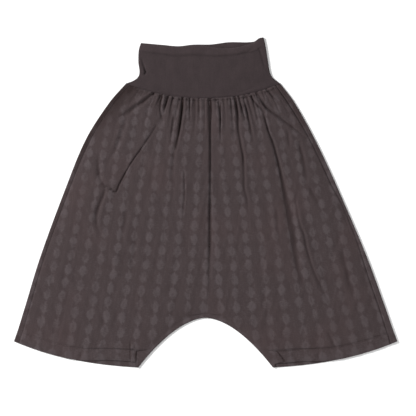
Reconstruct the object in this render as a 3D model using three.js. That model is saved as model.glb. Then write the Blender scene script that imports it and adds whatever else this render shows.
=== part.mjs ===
// Low-crotch harem pants with a wide knit waistband, laid out flat with the front uppermost.
// Millimetres, +Z up. X runs across the garment, +Y towards the waist, and the origin lies on the
// surface under the middle of the garment. The wearer's left leg lies at +X. A level counts down
// from the waist seam towards the hems, and a share counts from the centre line (0) to a side (1).
import * as THREE from "three";
import { mergeVertices } from "three/addons/utils/BufferGeometryUtils.js";

// Driving dimensions
const WAIST_SEAM_Y = 219; // height in the plan of the waist seam on the centre line
const CROTCH_LEVEL = 461;
const HEM_LEVEL = 567.6;
const HEM_DEPTH = 27;
const LEG_GAP = 282.4; // between the inner corners of the two hems
const CROTCH_CURVE = 1.75; // 1 is a pointed arch, 2 a parabola

// Cloth
const WOVEN = 1.2;
const WOVEN_UPRIGHT = 1.4; // the front's thickness measured straight up, so that slopes keep WOVEN
const HEM_TURNING = 0.9; // added by the cloth turned up inside a hem
const KNIT = 1.8;
const SEAM_GAP = 0.3;
const WOVEN_BEND = 2.2; // outside radius where the cloth turns over at a side or at the crotch
const KNIT_BEND = 2.5;
const FRONT_BASE = 2 * WOVEN_BEND; // top of the front where it meets the side seams
const BAND_BASE = 2 * KNIT_BEND;

// Side folds: distance from the centre line, and how far the side seam has rolled on to the front
const SIDES = [
  { level: 0, right: 167, left: 156.5, rightRoll: 6, leftRoll: 7 },
  { level: 38, right: 201.5, left: 186, rightRoll: 6, leftRoll: 9 },
  { level: 111, right: 250, left: 228, rightRoll: 7, leftRoll: 8 },
  { level: 211, right: 292, left: 275, rightRoll: 7, leftRoll: 9 },
  { level: 366, right: 348, left: 339.5, rightRoll: 9, leftRoll: 11 },
  { level: 477, right: 378.5, left: 376, rightRoll: 14, leftRoll: 11 },
  { level: 540, right: 394.5, left: 394, rightRoll: 14, leftRoll: 11 },
  { level: 567.6, right: 402.4, left: 402.4, rightRoll: 14, leftRoll: 12 },
];

// How far the ends of a level curve rise above its middle, and the power of that rise
const RISES = [
  { level: 0, rise: 31, power: 2.2 },
  { level: 136, rise: 27, power: 2.2 },
  { level: 366, rise: 30, power: 2.3 },
  { level: 477, rise: 41, power: 2.6 },
  { level: 567.6, rise: 57.5, power: 3 },
];

// The centre seam, and the roll of the crotch seam on to the front
const CENTRE_SEAM = [
  { level: 0, x: 7 },
  { level: 110, x: 9 },
  { level: 290, x: 9 },
  { level: 400, x: 7 },
  { level: 461, x: 0 },
];
const CROTCH_ROLL = [
  { level: 461, roll: 8 },
  { level: 520, roll: 11 },
  { level: 567.6, roll: 23 },
];

// Height of the front above its side seams, and the share of it that a gather's trough loses
const LOFTS = [
  { level: 0, loft: 1.4, trough: 0.2 },
  { level: 5, loft: 3, trough: 0.3 },
  { level: 9, loft: 2.6, trough: 0.6 },
  { level: 16, loft: 5, trough: 0.66 },
  { level: 32, loft: 6, trough: 0.55 },
  { level: 56, loft: 5.6, trough: 0.36 },
  { level: 114, loft: 4.6, trough: 0.16 },
  { level: 250, loft: 3.8, trough: 0 },
  { level: 461, loft: 2.6, trough: 0 },
  { level: 567.6, loft: 1.8, trough: 0 },
];

// The main folds of the front, each a trough through points across and down from the waist seam
const FOLDS = [
  { across: [7, 9, 9, 8], down: [-4, 110, 290, 417], width: 8, depth: 5 },
  { across: [-49, -52, -58], down: [-4, 42, 100], width: 7, depth: 4.4 },
  { across: [-67, -70, -70], down: [29, 109, 210], width: 11, depth: 2.4 },
  { across: [-102, -138, -174], down: [-7, 13, 36], width: 8, depth: 3.4 },
  { across: [-108, -144, -185], down: [65, 113, 195], width: 12, depth: 3.6 },
  { across: [-185, -201, -216], down: [197, 189, 181], width: 12, depth: 2.4 },
  { across: [-226, -223, -216], down: [117, 151, 182], width: 13, depth: 2 },
  { across: [-212, -227, -227], down: [199, 231, 298], width: 13, depth: 2.4 },
  { across: [-174, -182, -199], down: [54, 88, 130], width: 12, depth: 2 },
  { across: [-168, -169, -176], down: [220, 256, 290], width: 13, depth: 2 },
  { across: [30, 30, 28], down: [8, 42, 80], width: 7, depth: 3.4 },
  { across: [60, 70, 79, 88], down: [-3, 77, 151, 250], width: 10, depth: 4 },
  { across: [84, 92, 96], down: [12, 42, 75], width: 7, depth: 2.8 },
  { across: [107, 131, 156, 204], down: [-5, 26, 45, 82], width: 10, depth: 3 },
  { across: [118, 137, 156, 172, 177, 196], down: [29, 88, 172, 256, 319, 378], width: 12, depth: 3.6 },
  { across: [189, 204, 223, 255], down: [220, 287, 357, 434], width: 13, depth: 2.6 },
  { across: [284, 293, 307], down: [327, 361, 415], width: 13, depth: 2 },
];
const FOLD_SAMPLES = 14;
const FOLD_FADE = 0.3; // share of a fold's length over which its lower end runs out

// Gathers of one panel
const GATHERS = 13;
const GATHER_WIDTH_SWING = 0.38;
const GATHER_DEPTH_SWING = 0.3;
const GATHER_PARTS = [0, 0.3, 0.7]; // where a gather's trough and its two crest points lie in it
const SIDE_CROWDING = 0.35; // at the waist seam the gathers lie closer towards the sides
const CROWDING_REACH = 50;
const BACK_GATHER_RISE = 1.4; // troughs under the back lie this far off the surface
const BACK_GATHER_REACH = 60;

// Knit waistband: distance of its side folds from the centre line, by share of the way down
const BAND_SIDES = [
  { down: 0, right: 136, left: 121.8 },
  { down: 0.17, right: 140.3, left: 125.5 },
  { down: 0.47, right: 141.2, left: 130.2 },
  { down: 0.72, right: 138.8, left: 134 },
  { down: 0.85, right: 142.2, left: 138.6 },
  { down: 0.94, right: 152.5, left: 147.5 },
  { down: 1, right: 167, left: 156.5 },
];
// Its top edge, from the wearer's right side (-1) to the left (1)
const BAND_TOP = [
  { side: -1, y: 334.4 },
  { side: -0.7, y: 330.9 },
  { side: -0.42, y: 327.9 },
  { side: -0.2, y: 331.4 },
  { side: 0.1, y: 331.9 },
  { side: 0.4, y: 336.4 },
  { side: 0.84, y: 337.4 },
  { side: 0.95, y: 345.4 },
  { side: 1, y: 346.1 },
];
// Height of its front above its side folds
const BAND_LOFTS = [
  { down: 0, loft: 0.5 },
  { down: 0.05, loft: 1.7 },
  { down: 0.15, loft: 1.9 },
  { down: 0.2, loft: 0.6 },
  { down: 0.3, loft: 1 },
  { down: 0.6, loft: 1.4 },
  { down: 0.9, loft: 1 },
  { down: 1, loft: 0.2 },
];
const BAND_DIP = { x: 50, reach: 42, depth: 13, down: 0.6 }; // the front's edge sags below the back's

// Cross sections and their steps
const GATHER_LEVELS = [0, 5, 9, 16, 32, 56];
const LEG_LEVELS = [CROTCH_LEVEL, 463.5, 469, 478, 491, 508, 526, HEM_LEVEL - HEM_DEPTH - 2];
const HEM_LEVELS = [HEM_LEVEL - HEM_DEPTH, 554, HEM_LEVEL];
const BODY_ROWS = 17;
const FRONT_STEPS = 2 * GATHERS;
const BACK_STEPS = GATHERS;
const BAND_LEVELS = [0, 0.05, 0.15, 0.2, 0.3, 0.5, 0.72, 0.85, 0.94, 1];
const BAND_STEPS = 18;
const BEND_STEPS = 4;

const WOVEN_LOOK = { color: 0x4d4344, roughness: 0.92, metalness: 0 };
const KNIT_LOOK = { color: 0x423a3b, roughness: 0.95, metalness: 0 };

const RIGHT = -1;
const LEFT = 1;
const column = (sign) => (sign < 0 ? "right" : "left");
const clamp01 = (value) => THREE.MathUtils.clamp(value, 0, 1);

const evenly = (from, to, steps) => {
  return Array.from({ length: steps + 1 }, (_, i) => from + ((to - from) * i) / steps);
};

// The two rows of a table on each side of a place. Outside the table both are its end row.
function rowsAround(table, key, at) {
  const after = table.findIndex((row) => row[key] > at);
  if (after === 0) return [0, 0];
  return after < 0 ? [table.length - 1, table.length - 1] : [after - 1, after];
}

// Reads a column of a table at a place between its rows.
function lookUp(table, key, name, at) {
  const [i, j] = rowsAround(table, key, at);
  if (i === j) return table[i][name];
  const share = (at - table[i][key]) / (table[j][key] - table[i][key]);
  return THREE.MathUtils.lerp(table[i][name], table[j][name], share);
}

// The same, on a smooth curve through the rows.
function lookUpSmooth(table, key, name, at) {
  const [i, j] = rowsAround(table, key, at);
  if (i === j) return table[i][name];
  const slope = (k) => {
    const a = table[Math.max(k - 1, 0)];
    const b = table[Math.min(k + 1, table.length - 1)];
    return (b[name] - a[name]) / (b[key] - a[key]);
  };
  const span = table[j][key] - table[i][key];
  const t = (at - table[i][key]) / span;
  const start = (1 + 2 * t) * (1 - t) ** 2 * table[i][name] + t * (1 - t) ** 2 * span * slope(i);
  const end = t * t * (3 - 2 * t) * table[j][name] + t * t * (t - 1) * span * slope(j);
  return start + end;
}

const sideWidth = (sign, level) => lookUpSmooth(SIDES, "level", column(sign), level);
const sideRoll = (sign, level) => lookUp(SIDES, "level", `${column(sign)}Roll`, level);
const crotchRoll = (level) => lookUp(CROTCH_ROLL, "level", "roll", level);

// Height in the plan of the curve at this level.
function levelY(x, level) {
  const rise = lookUpSmooth(RISES, "level", "rise", level);
  const power = lookUp(RISES, "level", "power", level);
  return WAIST_SEAM_Y - level + rise * Math.abs(x / sideWidth(x, level)) ** power;
}

function crotchFold(leg, level) {
  const share = Math.max(level - CROTCH_LEVEL, 0) / (HEM_LEVEL - CROTCH_LEVEL);
  const apart = (LEG_GAP - SEAM_GAP) * share ** (1 / CROTCH_CURVE) + SEAM_GAP;
  const x = (leg * apart) / 2;
  return new THREE.Vector2(x, levelY(x, level));
}

// Direction in the plan from the crotch fold into the cloth.
function intoCloth(leg, level) {
  if (level <= CROTCH_LEVEL) return new THREE.Vector2(0, 1);
  const along = crotchFold(leg, level + 0.5).sub(crotchFold(leg, level - 0.5)).normalize();
  return new THREE.Vector2(-along.y * leg, along.x * leg);
}

// A panel's inner end at this level: on the centre seam, or below the crotch on the crotch fold.
// The inset moves it into the cloth.
function innerEnd(leg, level, inset) {
  if (level > CROTCH_LEVEL) {
    return crotchFold(leg, level).addScaledVector(intoCloth(leg, level), inset);
  }
  const x = lookUp(CENTRE_SEAM, "level", "x", level) + (leg * SEAM_GAP) / 2;
  const lift = inset * THREE.MathUtils.smoothstep(level, CROTCH_LEVEL - 160, CROTCH_LEVEL);
  return new THREE.Vector2(x, levelY(x, level) + lift);
}

// Where the gathers of a panel end, as shares of its width. They differ in width.
function gatherEnds(leg) {
  const widths = evenly(0, GATHERS - 1, GATHERS - 1).map((k) => {
    return 1 + GATHER_WIDTH_SWING * Math.sin(2.4 * k + leg) * Math.sin(1.1 * k + 2);
  });
  const whole = widths.reduce((a, b) => a + b, 0);
  const ends = [0];
  widths.forEach((width, k) => ends.push(ends[k] + width / whole));
  return ends;
}
const ENDS = { right: gatherEnds(RIGHT), left: gatherEnds(LEFT) };

// Share of a panel's width at which its cloth lies, counted in gathers from the centre seam.
function shareAt(leg, gather, level) {
  const k = Math.min(Math.floor(gather), GATHERS - 1);
  const ends = ENDS[column(leg)];
  const share = THREE.MathUtils.lerp(ends[k], ends[k + 1], gather - k);
  const crowding = SIDE_CROWDING * Math.exp(-level / CROWDING_REACH);
  return (share * (1 + crowding)) / (1 + crowding * share);
}

// Plan of a cross section of one panel, from its inner end to its side.
function crossSection(leg, level, gathers, crotchInset, sideInset) {
  const inner = innerEnd(leg, level, crotchInset);
  const sideX = leg * (sideWidth(leg, level) - sideInset);
  const lift = inner.y - levelY(inner.x, level);
  return gathers.map((gather) => {
    const share = shareAt(leg, gather, level);
    const x = THREE.MathUtils.lerp(inner.x, sideX, share);
    return { leg, level, gather, share, x, y: levelY(x, level) + lift * (1 - share) ** 3 };
  });
}

// All cross sections of a panel, with more points across its gathers than below them.
function crossSections(leg, gathered, plain, crotchInset, sideInset) {
  const section = (level, gathers) => {
    return crossSection(leg, level, gathers, crotchInset(level), sideInset(level));
  };
  const gathersEnd = GATHER_LEVELS[GATHER_LEVELS.length - 1];
  const body = evenly(gathersEnd, CROTCH_LEVEL, BODY_ROWS).slice(1, -1);
  return [
    ...GATHER_LEVELS.map((level) => section(level, gathered)),
    ...[...body, ...LEG_LEVELS, ...HEM_LEVELS].map((level) => section(level, plain)),
  ];
}

const foldPaths = FOLDS.map(({ across, down, width, depth }) => {
  const through = across.map((x, i) => new THREE.Vector2(x, WAIST_SEAM_Y - down[i]));
  return { line: new THREE.SplineCurve(through).getPoints(FOLD_SAMPLES), width, depth };
});

// How far along a fold a plan point lies, and how far away from it.
function nearestOnFold(line, point) {
  let nearest = { along: 0, away: Infinity };
  line.slice(1).forEach((end, i) => {
    const run = end.clone().sub(line[i]);
    const share = clamp01(point.clone().sub(line[i]).dot(run) / run.lengthSq());
    const away = run.multiplyScalar(share).add(line[i]).distanceTo(point);
    if (away < nearest.away) nearest = { along: (i + share) / (line.length - 1), away };
  });
  return nearest;
}

function foldDepth(x, y) {
  const depths = foldPaths.map(({ line, width, depth }) => {
    const { along, away } = nearestOnFold(line, new THREE.Vector2(x, y));
    if (away >= width) return 0;
    return (depth * clamp01((1 - along) / FOLD_FADE) * (1 + Math.cos((Math.PI * away) / width))) / 2;
  });
  return Math.max(...depths);
}

// 1 in a gather's trough and 0 on its crest, with some gathers shallower than others.
function trough(gather) {
  const k = Math.round(gather);
  const swing = GATHER_DEPTH_SWING * (1 + Math.sin(3.7 * k));
  return Math.max(0, 1 - Math.abs(gather - k) / GATHER_PARTS[1]) * (1 - swing);
}

// Outer height of the front panels. It comes down to their side seams and to the crotch seam.
function frontHeight({ level, gather, share, x, y }) {
  const crotch = THREE.MathUtils.smoothstep(level, CROTCH_LEVEL - 25, CROTCH_LEVEL);
  const edge = (1 - share ** 8) * (1 - crotch * (1 - share) ** 12);
  const loft = lookUp(LOFTS, "level", "loft", level);
  const gathered = 1 - lookUp(LOFTS, "level", "trough", level) * trough(gather);
  return FRONT_BASE + Math.max(loft * gathered - foldDepth(x, y), 0) * edge;
}

const hemTurning = (level) => (level > HEM_LEVEL - HEM_DEPTH - 1 ? HEM_TURNING : 0);
const spotAt = ({ x, y }, outer, inner) => {
  return { outer: new THREE.Vector3(x, y, outer), inner: new THREE.Vector3(x, y, inner) };
};
const firsts = (rows) => rows.map((row) => row[0]);
const lasts = (rows) => rows.map((row) => row[row.length - 1]);
const backwards = (list) => [...list].reverse();

// A wall of cloth in triangles. A spot holds the two faces of the cloth at one place. Seen from
// outside, rows run from left to right and follow each other downwards, or the wall is mirrored.
class Wall {
  constructor(mirrored = false) {
    this.mirrored = mirrored;
    this.corners = [];
  }

  face(a, b, c) {
    const points = this.mirrored ? [a, c, b] : [a, b, c];
    points.forEach((p) => this.corners.push(p.x, p.y, p.z));
  }

  // Fills the strip between two rows that may differ in number of spots.
  strip(upper, lower) {
    const [m, n] = [upper.length - 1, lower.length - 1];
    let [i, j] = [0, 0];
    while (i < m || j < n) {
      const onUpper = j === n || (i < m && (i + 1) * n <= (j + 1) * m);
      const far = onUpper ? upper[i + 1] : lower[j + 1];
      this.face(upper[i].outer, lower[j].outer, far.outer);
      this.face(upper[i].inner, far.inner, lower[j].inner);
      if (onUpper) i += 1;
      else j += 1;
    }
  }

  strips(rows) {
    rows.slice(1).forEach((row, i) => this.strip(rows[i], row));
  }

  // Closes a cut edge along spots that run anticlockwise round the outside.
  edge(line) {
    line.slice(1).forEach((b, i) => {
      const a = line[i];
      this.face(b.outer, a.outer, a.inner);
      this.face(b.outer, a.inner, b.inner);
    });
  }

  mesh(name, look) {
    const triangles = new THREE.BufferGeometry();
    triangles.setAttribute("position", new THREE.Float32BufferAttribute(this.corners, 3));
    const geometry = mergeVertices(triangles, 1e-4);
    geometry.computeVertexNormals();
    const made = new THREE.Mesh(geometry, new THREE.MeshStandardMaterial(look));
    made.name = name;
    return made;
  }
}

// Half a turn of cloth, from flat on the surface at the start to flat above it.
function bend(start, outward, radius, thickness, followY) {
  const place = (distance, height) => {
    const x = start.x + outward.x * distance;
    return new THREE.Vector3(x, followY ? followY(x) : start.y + outward.y * distance, height);
  };
  const inside = radius - thickness;
  return evenly(0, Math.PI, BEND_STEPS)
    .slice(1)
    .map((turn) => ({
      outer: place(radius * Math.sin(turn), radius * (1 - Math.cos(turn))),
      inner: place(inside * Math.sin(turn), radius - inside * Math.cos(turn)),
    }));
}

// A bend whose cloth then runs back over the top for the length of the roll.
function rolledEdge(start, outward, roll, followY) {
  const turned = bend(start, outward, WOVEN_BEND, WOVEN, followY);
  const x = start.x - outward.x * roll;
  const end = { x, y: followY ? followY(x) : start.y - outward.y * roll };
  return [...turned, spotAt(end, 2 * WOVEN_BEND, 2 * WOVEN_BEND - WOVEN)];
}

function frontPanel(leg) {
  const gathered = evenly(0, GATHERS - 1, GATHERS - 1)
    .flatMap((k) => GATHER_PARTS.map((part) => k + part))
    .concat(GATHERS);
  const plain = evenly(0, GATHERS, FRONT_STEPS);
  const crotchInset = (level) => WOVEN_BEND + crotchRoll(level) + SEAM_GAP;
  const sideInset = (level) => WOVEN_BEND + sideRoll(leg, level) + SEAM_GAP;
  const rows = crossSections(leg, gathered, plain, crotchInset, sideInset).map(
    (section) =>
      section.map((place) => {
        const top = frontHeight(place);
        return spotAt(place, top + hemTurning(place.level), top - WOVEN_UPRIGHT);
      }),
  );
  const wall = new Wall(leg === RIGHT);
  wall.strips(rows);
  wall.edge(backwards(rows[0]));
  wall.edge(firsts(rows));
  wall.edge(rows[rows.length - 1]);
  wall.edge(backwards(lasts(rows)));
  return wall.mesh(`front_panel_${column(leg)}`, WOVEN_LOOK);
}

// The flat run of a back panel, with shallow gathers in its underside near the waist.
function backSpot(place) {
  const fade = Math.max(0, 1 - place.level / BACK_GATHER_REACH);
  const underside = place.gather % 1 === 0.5 ? BACK_GATHER_RISE * fade : 0;
  return spotAt(place, underside, underside + WOVEN + hemTurning(place.level));
}

// A back panel lies on the surface and rolls on to the front at its side and at the crotch.
function backPanel(leg) {
  const gathered = evenly(0, GATHERS, 2 * GATHERS);
  const plain = evenly(0, GATHERS, BACK_STEPS);
  const inset = () => WOVEN_BEND;
  const sections = crossSections(leg, gathered, plain, inset, inset);
  const flats = sections.map((section) => section.map(backSpot));
  const sides = sections.map((section, i) => {
    const [{ level }, side] = [section[0], section[section.length - 1]];
    const outward = new THREE.Vector2(leg, 0);
    const followY = (x) => levelY(x, level);
    const last = flats[i][section.length - 1];
    return [last, ...rolledEdge(side, outward, sideRoll(leg, level), followY)];
  });
  const crotchRow = sections.findIndex((section) => section[0].level === CROTCH_LEVEL);
  const crotch = sections.slice(crotchRow).map((section, i) => {
    const { level } = section[0];
    const outward = intoCloth(leg, level).negate();
    const rolled = rolledEdge(section[0], outward, crotchRoll(level));
    return backwards([flats[crotchRow + i][0], ...rolled]);
  });
  const wall = new Wall(leg === LEFT);
  [flats, sides, crotch].forEach((rows) => {
    wall.strips(rows);
    wall.edge(backwards(rows[0]));
    wall.edge(rows[rows.length - 1]);
  });
  wall.edge(firsts(flats.slice(0, crotchRow + 1)));
  wall.edge(firsts(crotch));
  wall.edge(backwards(lasts(sides)));
  return wall.mesh(`back_panel_${column(leg)}`, WOVEN_LOOK);
}

// Plan position on the waistband, by its share of the way down and its side from -1 to 1.
function bandPlace(down, side) {
  const width = (at) => lookUpSmooth(BAND_SIDES, "down", column(side), at) - KNIT_BEND;
  const top = lookUpSmooth(BAND_TOP, "side", "y", side);
  const foot = levelY(side * width(1), 0) + SEAM_GAP;
  return { x: side * width(down), y: THREE.MathUtils.lerp(top, foot, down) };
}

function bandFront(down, side) {
  const { x, y } = bandPlace(down, side);
  const edge = 1 - Math.abs(side) ** 8;
  const sag = BAND_DIP.depth * Math.exp(-(((x - BAND_DIP.x) / BAND_DIP.reach) ** 2));
  const dip = sag * Math.max(0, 1 - down / BAND_DIP.down) ** 2 * edge;
  const height = BAND_BASE + lookUp(BAND_LOFTS, "down", "loft", down) * edge;
  return spotAt({ x, y: y - dip }, height, height - KNIT);
}

// The waistband is one flattened tube, whose back lies on the surface.
function waistband() {
  const sides = evenly(-1, 1, BAND_STEPS);
  const rows = BAND_LEVELS.map((down) => {
    const turned = (sign) => {
      const start = bandPlace(down, sign);
      const followY = (x) => bandPlace(down, (sign * x) / start.x).y;
      return bend(start, new THREE.Vector2(sign, 0), KNIT_BEND, KNIT, followY);
    };
    const ring = [
      ...sides.slice(1, -1).map((side) => bandFront(down, side)),
      ...backwards(turned(LEFT)),
      ...backwards(sides).map((side) => spotAt(bandPlace(down, side), 0, KNIT)),
      ...turned(RIGHT),
    ];
    return [...ring, ring[0]];
  });
  const wall = new Wall();
  wall.strips(rows);
  wall.edge(backwards(rows[0]));
  wall.edge(rows[rows.length - 1]);
  return wall.mesh("waistband", KNIT_LOOK);
}

const haremPants = new THREE.Group();
haremPants.name = "harem_pants";
haremPants.add(waistband());
[LEFT, RIGHT].forEach((leg) => haremPants.add(frontPanel(leg), backPanel(leg)));

export default haremPants;
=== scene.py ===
import math
import bpy
import numpy as np
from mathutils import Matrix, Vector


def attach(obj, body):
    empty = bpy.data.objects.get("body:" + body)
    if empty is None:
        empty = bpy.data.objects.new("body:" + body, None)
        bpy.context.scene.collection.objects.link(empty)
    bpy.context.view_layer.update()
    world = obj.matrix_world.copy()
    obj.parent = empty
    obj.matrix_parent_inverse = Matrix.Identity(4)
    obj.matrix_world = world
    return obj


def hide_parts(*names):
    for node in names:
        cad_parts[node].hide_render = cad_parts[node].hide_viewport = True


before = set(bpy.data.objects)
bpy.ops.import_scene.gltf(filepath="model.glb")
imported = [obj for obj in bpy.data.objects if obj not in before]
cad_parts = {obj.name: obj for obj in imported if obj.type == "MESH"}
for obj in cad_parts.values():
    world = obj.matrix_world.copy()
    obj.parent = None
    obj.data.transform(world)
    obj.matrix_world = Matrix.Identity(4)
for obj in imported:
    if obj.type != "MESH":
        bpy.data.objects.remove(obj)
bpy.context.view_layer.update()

MM = 0.001
RIGHT, LEFT = -1, 1

# Driving dimensions, as the solids have them
WAIST_SEAM_Y = 219
CROTCH_LEVEL = 461
HEM_LEVEL = 567.6
HEM_DEPTH = 27
STITCH_LEVEL = HEM_LEVEL - HEM_DEPTH
LEG_GAP = 282.4
CROTCH_CURVE = 1.75
WOVEN_BEND = 2.2
KNIT_BEND = 2.5
FRONT_BASE = 2 * WOVEN_BEND
BAND_BASE = 2 * KNIT_BEND

# Gap at a seam and thickness of each cloth, all smaller than in the solids
SEAM_GAP = 0.02
WOVEN = 0.8
KNIT = 1.7


def table(names, *rows):
    return dict(zip(names.split(), np.array(rows, float).T))


# Side folds: distance from the centre line, and the roll of each side seam on to the front
SIDES = table(
    "level right left",
    (0, 167, 156.5),
    (38, 201.5, 186),
    (111, 250, 228),
    (211, 292, 275),
    (366, 348, 339.5),
    (477, 378.5, 376),
    (540, 394.5, 394),
    (567.6, 402.4, 402.4),
)
SIDE_ROLLS = table(
    "level right left",
    (0, 6, 7),
    (38, 6, 9),
    (111, 7, 7),
    (205, 6, 6.5),
    (245, 6, 3),
    (310, 6, 3.2),
    (345, 6, 5.5),
    (400, 6.5, 8.8),
    (477, 7, 9.4),
    (540, 8, 10.5),
    (567.6, 8, 12),
)

# Each level is a curve that rises to the sides by a power of the distance from the centre line
RISES = table(
    "level rise power",
    (0, 31, 2.2),
    (136, 27, 2.2),
    (366, 30, 2.3),
    (477, 41, 2.6),
    (567.6, 57.5, 3),
)

# Centre seam's distance from the centre line
CENTRE_SEAM = table(
    "level x",
    (0, 8),
    (40, 10),
    (110, 10.2),
    (200, 10),
    (240, 9),
    (290, 9),
    (400, 7),
    (461, 0),
)

# Roll of the back on to the front along the crotch, widest at the hems' inner corners
CORNER_LEVEL = 530.5
CROTCH_ROLL = table(
    "level right left",
    (461, 7, 7),
    (CORNER_LEVEL - 1.5, 7, 7),
    (CORNER_LEVEL + 1.5, 31, 34),
    (547, 19, 33),
    (555, 11.5, 31),
    (560, 7, 8),
    (567.6, 1.5, 1.5),
)

# How far the front's hem is drawn up at its inner corner
HEM_LIFT = {RIGHT: 12, LEFT: 9}

# Height of the front above its side seams
LOFTS = table(
    "level loft",
    (0, 0.4),
    (1, 1.6),
    (3, 3.6),
    (4.5, 3.2),
    (6.5, 2.2),
    (9, 3.2),
    (16, 4.8),
    (32, 5.8),
    (56, 5.6),
    (114, 4.8),
    (250, 4),
    (461, 2.1),
    (535, 1.7),
    (567.6, 0.3),
)

# Gathers of each panel, how their widths differ and how they crowd together at the sides
GATHERS = 13
GATHER_WIDTH_SWING = 0.38
SIDE_CROWDING = 0.35
CROWDING_REACH = 50

# Pleats in the gathers: least and most depth, length in millimetres and width in gathers
MAIN_PLEATS = {"depth": (1.8, 4.4), "reach": (20, 80), "width": (0.13, 0.24)}
SMALL_PLEATS = {"depth": (0.8, 2.2), "reach": (10, 60), "width": (0.09, 0.15)}
SMALL_COUNT = 34
PLEAT_LEAN = 0.006

# Knots under the waist seam: shift in gathers, least and most level and height
KNOTS = {"shift": 0.15, "down": (1.5, 5), "height": (-2.4, 3.2)}

# Waves of the cloth lying down: height, random seed, count, and shortest and longest wave
FRONT_WAVES = [
    {"height": 0.4, "seed": 5, "count": 18, "shortest": 22, "longest": 70},
    {"height": 0.17, "seed": 6, "count": 18, "shortest": 9, "longest": 22},
]
BAND_WAVES = {"height": 0.16, "seed": 9, "count": 16, "shortest": 18, "longest": 60}

# Waistband: its side folds by share of the way down, its top edge and its front's height
BAND_SIDES = table(
    "down right left",
    (0, 136, 121.8),
    (0.17, 140.3, 125.5),
    (0.47, 141.2, 130.2),
    (0.72, 138.8, 134),
    (0.85, 142.2, 138.6),
    (0.94, 152.5, 147.5),
    (1, 167, 156.5),
)
BAND_TOP = table(
    "side y",
    (-1, 334.4),
    (-0.7, 330.9),
    (-0.42, 327.9),
    (-0.2, 331.4),
    (0.1, 331.9),
    (0.4, 336.4),
    (0.84, 337.4),
    (0.95, 345.4),
    (1, 346.1),
)
BAND_LOFTS = table(
    "down loft",
    (0, 0.3),
    (0.015, 1.2),
    (0.05, 1.9),
    (0.12, 2.2),
    (0.16, 1.9),
    (0.2, 0.5),
    (0.26, 0.7),
    (0.4, 1.3),
    (0.7, 1.5),
    (0.93, 1.4),
    (0.975, 1.2),
    (1, -0.1),
)

# Dip in the waistband's top edge, the edge's rounding, and the height of the knit's pattern
BAND_DIP = {"x": 50, "reach": 42, "depth": 13, "down": 0.6}
BAND_EDGE = {"drop": 0.8, "reach": 0.00923}
BAND_HEIGHT = 115

# Folds of the front
def fold(ridge, *points):
    """Each point is across from the centre line, down from the waist seam, and the half width
    and depth of the trough. The ridge is the height of the swell beside the trough, on the
    line's left hand, or on its right hand where it is below 0."""
    return ridge, np.array(points, float)


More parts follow.
